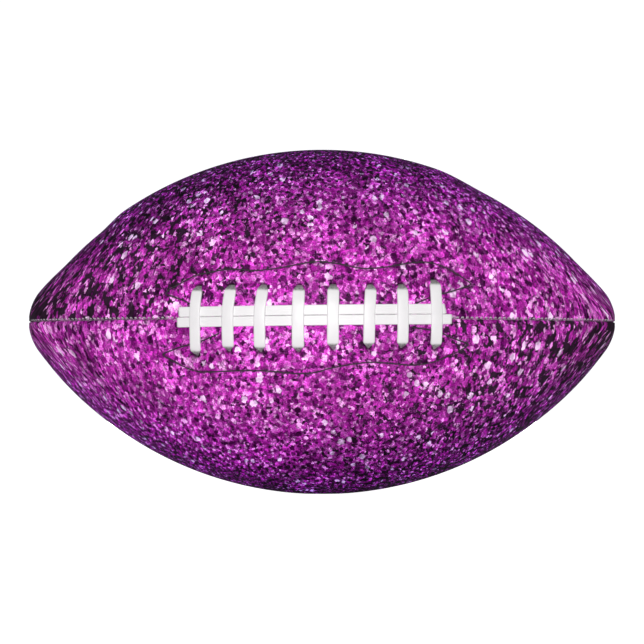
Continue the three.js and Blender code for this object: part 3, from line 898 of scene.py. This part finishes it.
def ragged(tree, place):
    """The flakes are cut raggedly, so the pattern is pushed about a little."""
    push = tree.node("ShaderNodeTexNoise", noise_dimensions="2D")
    tree.feed(push.inputs["Vector"], place)
    tree.feed(push.inputs["Scale"], 70)
    tree.feed(push.inputs["Detail"], 3)
    centred = tree.vector("SUBTRACT", push.outputs["Color"], (0.5, 0.5, 0.5))
    return tree.vector("ADD", place, tree.scale(centred, 0.018))


def charcoal_gaps(tree, place, along, across, far):
    """How bare of flakes the print is, towards one end of each panel, and how near that end's nose it is."""
    toward_end = tree.steps(tree.math("SUBTRACT", along, across), -0.1, -1.5)
    at_nose = tree.steps(along, -1.35, -1.66)
    thickness = tree.math("MULTIPLY_ADD", at_nose, 0.16, tree.noise(place, 17, 3, 0.6))
    blotch = tree.steps(thickness, 0.42, 0.57)
    strength = tree.math("MULTIPLY_ADD", far, -0.25, 1)
    bare = tree.math("MULTIPLY", tree.math("MULTIPLY", toward_end, blotch), strength)
    return bare, at_nose


def fragments(tree, place, crumpled, bare):
    """Crumpled fragments with fine bright creases, under everything else, and a random number for each."""
    bits = tree.cells(tree.scale(place, 100 / FRAGMENT_MM))
    bit_one, bit_two, _ = tree.split(bits.outputs["Color"])
    colour = tree.mix(1, tree.ramp(bit_one, FLAKE_COLOURS), crumpled, "MULTIPLY")
    fold = tree.math("ABSOLUTE", tree.math("SUBTRACT", tree.noise(place, 62, 3, 0.6), 0.5))
    crease = tree.math("MULTIPLY", tree.steps(fold, 0.03, 0.0), 0.5)
    colour = tree.mix(crease, colour, CREASE_PINK)
    is_bare = tree.math("LESS_THAN", bit_two, tree.math("MULTIPLY", bare, 0.92))
    return tree.mix(is_bare, colour, CHARCOAL), bit_one


def add_flakes(tree, place, colour, height, crumpled, clump, bare, at_nose):
    """The scatterings of flakes, thinner and darker where the print is bare."""
    lift = tree.math("MULTIPLY_ADD", clump, 0.22, -0.11)
    thinning = tree.math("MULTIPLY_ADD", at_nose, 0.2, 0.62)
    gaps = tree.math("MULTIPLY", bare, thinning)
    dark_share = tree.math("MULTIPLY", bare, 0.42)
    for cell_mm, fill, shift, keep in FLAKE_LAYERS:
        inside, one, two, slope = glitter_flakes(tree, place, cell_mm, fill, shift)
        tint = tree.ramp(tree.math("ADD", one, lift), FLAKE_COLOURS)
        sheen = tree.math("MULTIPLY_ADD", slope, 1.3, 1.0)
        tint = tree.mix(1, tint, tree.grey(sheen), "MULTIPLY")
        tint = tree.mix(0.85, tint, tree.mix(1, tint, crumpled, "MULTIPLY"))
        tint = tree.mix(tree.math("LESS_THAN", one, dark_share), tint, CHARCOAL)
        limit = tree.math("MULTIPLY_ADD", gaps, -keep, keep)
        shown = tree.math("MULTIPLY", inside, tree.math("LESS_THAN", two, limit))
        colour = tree.mix(tree.math("MULTIPLY", shown, 0.92), colour, tint)
        height = tree.math("MULTIPLY_ADD", shown, tree.math("MULTIPLY_ADD", one, 0.4, 0.3), height)
    return colour, height


def add_glints(tree, place, colour, crumple, clump):
    """A few flakes catch the light, most of them where the flakes lie thickest."""
    broken = tree.steps(crumple, 0.14, 0.42)
    for cell_mm, fill, shift, rarity, tint in GLINT_LAYERS:
        inside, one, _, _ = glitter_flakes(tree, place, cell_mm, fill, shift)
        level = tree.math("SUBTRACT", rarity + 0.03, tree.math("MULTIPLY", clump, 0.06))
        glint = tree.math("MULTIPLY", inside, tree.math("GREATER_THAN", one, level))
        colour = tree.mix(tree.math("MULTIPLY", glint, broken), colour, tint)
    return colour


def shade_print(tree, place, colour, along, across, far):
    """The print is patchy. Painted shade deepens and darkens it towards the far seam, a little more at the
    middle of the ball, and painted light lifts the far side near the ends.
    """
    spots = tree.steps(tree.noise(place, 34, 2, 0.5), 0.34, 0.66)
    contrast = tree.math("MULTIPLY_ADD", far, 0.62, 0.35)
    patchy = tree.math("MULTIPLY_ADD", tree.math("MULTIPLY_ADD", spots, 1.9, -0.9), contrast, 1)
    broad = tree.math("MULTIPLY_ADD", tree.steps(tree.noise(place, 3.6, 1, 0.5), 0.3, 0.7), 0.5, 0.77)
    # Painted light on the far side near the ends, painted shade at its middle.
    ends = tree.steps(tree.math("ABSOLUTE", along), 0.4, 1.2)
    lift = tree.math("MULTIPLY_ADD", ends, 0.3, -0.09)
    broad = tree.math("MULTIPLY_ADD", lift, far, broad)
    colour = tree.mix(1, colour, tree.grey(tree.math("MULTIPLY", patchy, broad)), "MULTIPLY")
    # Painted shade: a gamma that deepens the colour towards the far seam.
    far_shade_gamma = tree.node("ShaderNodeGamma")
    tree.feed(far_shade_gamma.inputs["Color"], colour)
    tree.feed(far_shade_gamma.inputs["Gamma"], tree.math("MULTIPLY_ADD", far, 0.65, 1.05))
    return tree.mix(1, far_shade_gamma.outputs[0], tree.ramp(across, PRINT_TONE_AND_SHADE), "MULTIPLY")


def glitter_material():
    """The covers' print. Its UV maps are in units of 100 mm along, and "place" goes 0 to 1 across a panel."""
    tree = Tree("glitter_print")
    along, across, _ = tree.split(tree.uv("place"))
    far = tree.steps(across, 0.3, 0.95)
    place = ragged(tree, tree.uv("print"))
    bare, at_nose = charcoal_gaps(tree, place, along, across, far)
    clump = tree.steps(tree.noise(tree.vector("ADD", place, (7, 3, 0)), 13, 3, 0.6), 0.3, 0.7)
    crumple = tree.noise(place, 165, 3, 0.65)
    crumpled = tree.ramp(crumple, [(0.3, (0.12,) * 3), (0.5, (0.92,) * 3), (0.7, (2.2,) * 3)])

    colour, fragment = fragments(tree, place, crumpled, bare)
    height = tree.math("MULTIPLY", fragment, 0.3)
    colour, height = add_flakes(tree, place, colour, height, crumpled, clump, bare, at_nose)
    colour = add_glints(tree, place, colour, crumple, clump)
    colour = shade_print(tree, place, colour, along, across, far)
    # Painted shade darkens the cover inside the lace holes, along the stitch grooves and in the valve's dip.
    colour = tree.mix(tree.math("MULTIPLY", tree.attribute("shade"), 0.85), colour, HOLE_PAINTED_SHADE)

    grain = tree.noise(place, 260, 3, 0.6)
    tree.bump(tree.math("MULTIPLY_ADD", grain, 0.8, height), 0.2, 0.0002)
    tree.set(Base_Color=colour, Roughness=tree.math("MULTIPLY_ADD", fragment, -0.12, 0.55))
    tree.set(Specular_IOR_Level=0.06)
    return tree.material


def lace_material():
    tree = Tree("lace_white")
    place = tree.place()
    mottle = tree.noise(place, 90, 3)
    colour = tree.ramp(mottle, [(0.3, (0.85, 0.852, 0.85)), (0.7, (0.9, 0.9, 0.898))])
    # Painted shade, mottled grey-green, where the strip goes down into its holes.
    hole_shade_tone = tree.ramp(tree.noise(place, 1300, 2), [(0.35, (0.05, 0.06, 0.05)), (0.65, (0.42, 0.45, 0.41))])
    colour = tree.mix(tree.math("MULTIPLY", tree.attribute("shade"), 0.85), colour, hole_shade_tone)
    tree.bump(tree.noise(place, 1500, 2), 0.12, 0.0001)
    tree.set(Base_Color=colour, Roughness=tree.math("MULTIPLY_ADD", mottle, 0.15, 0.38))
    tree.set(Subsurface_Weight=0.15, Subsurface_Radius=(0.001, 0.001, 0.001))
    return tree.material


def thread_material(name, dark, light):
    tree = Tree(name)
    place = tree.place()
    twist = tree.noise(place, 1800, 2)
    tree.set(Base_Color=tree.ramp(twist, [(0.35, dark), (0.65, light)]), Roughness=0.8)
    tree.bump(twist, 0.5, 0.0001)
    return tree.material


def woven_material(name, dark, light):
    """A plain weave: two crossing sets of threads."""
    tree = Tree(name)
    x, y, z = tree.split(tree.place())
    weave_frequency = 5200
    warp = tree.math("SINE", tree.math("MULTIPLY", x, weave_frequency))
    weft = tree.math("SINE", tree.math("MULTIPLY", tree.math("ADD", y, z), weave_frequency))
    weave = tree.math("MULTIPLY_ADD", tree.math("MULTIPLY", warp, weft), 0.5, 0.5)
    tree.set(Base_Color=tree.ramp(weave, [(0.2, dark), (0.8, light)]), Roughness=0.95)
    tree.bump(weave, 0.4, 0.0002)
    return tree.material


def rubber_material(name, dark, light, roughness):
    tree = Tree(name)
    place = tree.place()
    bloom = tree.noise(place, 60, 4)
    tree.set(Base_Color=tree.ramp(bloom, [(0.3, dark), (0.75, light)]), Roughness=roughness)
    tree.bump(tree.noise(place, 900, 3), 0.15, 0.0002)
    return tree.material


# ---------------------------------------------------------------- stage

def only_for_camera(links, nodes, shown, otherwise):
    """A strength that the camera sees as one value and the light bounces as another."""
    path = nodes.new("ShaderNodeLightPath")
    pick = nodes.new("ShaderNodeMath")
    pick.operation = "MULTIPLY_ADD"
    links.new(path.outputs["Is Camera Ray"], pick.inputs[0])
    pick.inputs[1].default_value = shown - otherwise
    pick.inputs[2].default_value = otherwise
    return pick.outputs[0]


def make_world():
    world = bpy.data.worlds.new("studio")
    world.use_nodes = True
    bpy.context.scene.world = world
    tree = world.node_tree
    background = tree.nodes["Background"]
    background.inputs["Color"].default_value = (0.97, 0.97, 1, 1)
    strength = only_for_camera(tree.links, tree.nodes, 1.1, AMBIENT)
    tree.links.new(strength, background.inputs["Strength"])


def make_floor():
    """A floor that looks white to the camera and gives no light of its own."""
    low = -DIAMETER / 2 * MM + FLOOR_LIFT
    bpy.ops.mesh.primitive_plane_add(size=FLOOR_SIZE, location=(0, 0, low))
    floor = bpy.context.object
    floor.name = "studio_floor"
    material = bpy.data.materials.new("studio_floor")
    material.use_nodes = True
    nodes, links = material.node_tree.nodes, material.node_tree.links
    shader = nodes["Principled BSDF"]
    shader.inputs["Base Color"].default_value = (0.85, 0.85, 0.85, 1)
    shader.inputs["Roughness"].default_value = 1
    shader.inputs["Specular IOR Level"].default_value = 0
    shader.inputs["Emission Color"].default_value = (1, 1, 1, 1)
    links.new(only_for_camera(links, nodes, 1, 0), shader.inputs["Emission Strength"])
    floor.data.materials.append(material)


def area_light(name, place, size, power, colour=(1, 1, 1)):
    """A square light that points at the ball."""
    data = bpy.data.lights.new(name, "AREA")
    data.size = size
    data.energy = power
    data.color = colour
    light = bpy.data.objects.new(name, data)
    light.location = place
    light.rotation_euler = (-Vector(place)).to_track_quat("-Z", "Y").to_euler()
    bpy.context.scene.collection.objects.link(light)


def make_lights():
    area_light("key", (0, -2.6, 0.14), 0.42, 54, (1, 0.98, 0.99))
    area_light("back_fill", (0, 2.6, 0.16), 0.42, 40)
    area_light("overhead", (0, 0.3, 2.2), 1.2, 2)


def make_camera():
    data = bpy.data.cameras.new("camera")
    data.sensor_width = 36
    data.lens = CAMERA_LENS
    camera = bpy.data.objects.new("camera", data)
    away = CAMERA_DISTANCE * math.cos(CAMERA_BELOW)
    camera.location = (0, -away, -CAMERA_DISTANCE * math.sin(CAMERA_BELOW))
    camera.rotation_euler = (-camera.location).to_track_quat("-Z", "Y").to_euler()
    bpy.context.scene.collection.objects.link(camera)
    bpy.context.scene.camera = camera


def dress_hidden_pieces(lining, facing, bladder):
    """The CAD pieces inside the ball keep their shape and get their materials."""
    for name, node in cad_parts.items():
        for start, material in (
            ("lining", lining), ("lace_facing", facing), ("lace_tongue", facing), ("bladder", bladder),
        ):
            if name.startswith(start):
                for slot in node.material_slots:
                    slot.material = material


bpy.context.scene.view_settings.view_transform = "Standard"
make_camera()
make_world()
make_lights()
make_floor()

glitter = glitter_material()
for one_panel in PANELS:
    cover_panel(one_panel, glitter)

seam_cotton = thread_material("seam_thread", (0.25, 0.22, 0.25), (0.7, 0.67, 0.7))
facing_cotton = thread_material("facing_thread", (0.012, 0.01, 0.013), (0.045, 0.04, 0.045))
for one_seam in SEAMS:
    seam_thread(one_seam, seam_cotton)
for one_side in (1, -1):
    facing_stitching(one_side, facing_cotton)

white = lace_material()
for one_strand in STRANDS:
    lace_strand(one_strand, white)
crossing_lace(white)

black_rubber = rubber_material("valve_rubber", (0.012, 0.012, 0.013), (0.04, 0.04, 0.042), 0.5)
red_rubber = rubber_material("valve_core", (0.3, 0.02, 0.015), (0.45, 0.05, 0.04), 0.5)
valve(black_rubber, red_rubber)
dress_hidden_pieces(
    woven_material("lining_cloth", (0.5, 0.47, 0.4), (0.74, 0.7, 0.62)),
    woven_material("facing_cloth", (0.33, 0.3, 0.24), (0.52, 0.48, 0.4)),
    rubber_material("bladder_rubber", (0.012, 0.012, 0.012), (0.05, 0.05, 0.05), 0.6),
)
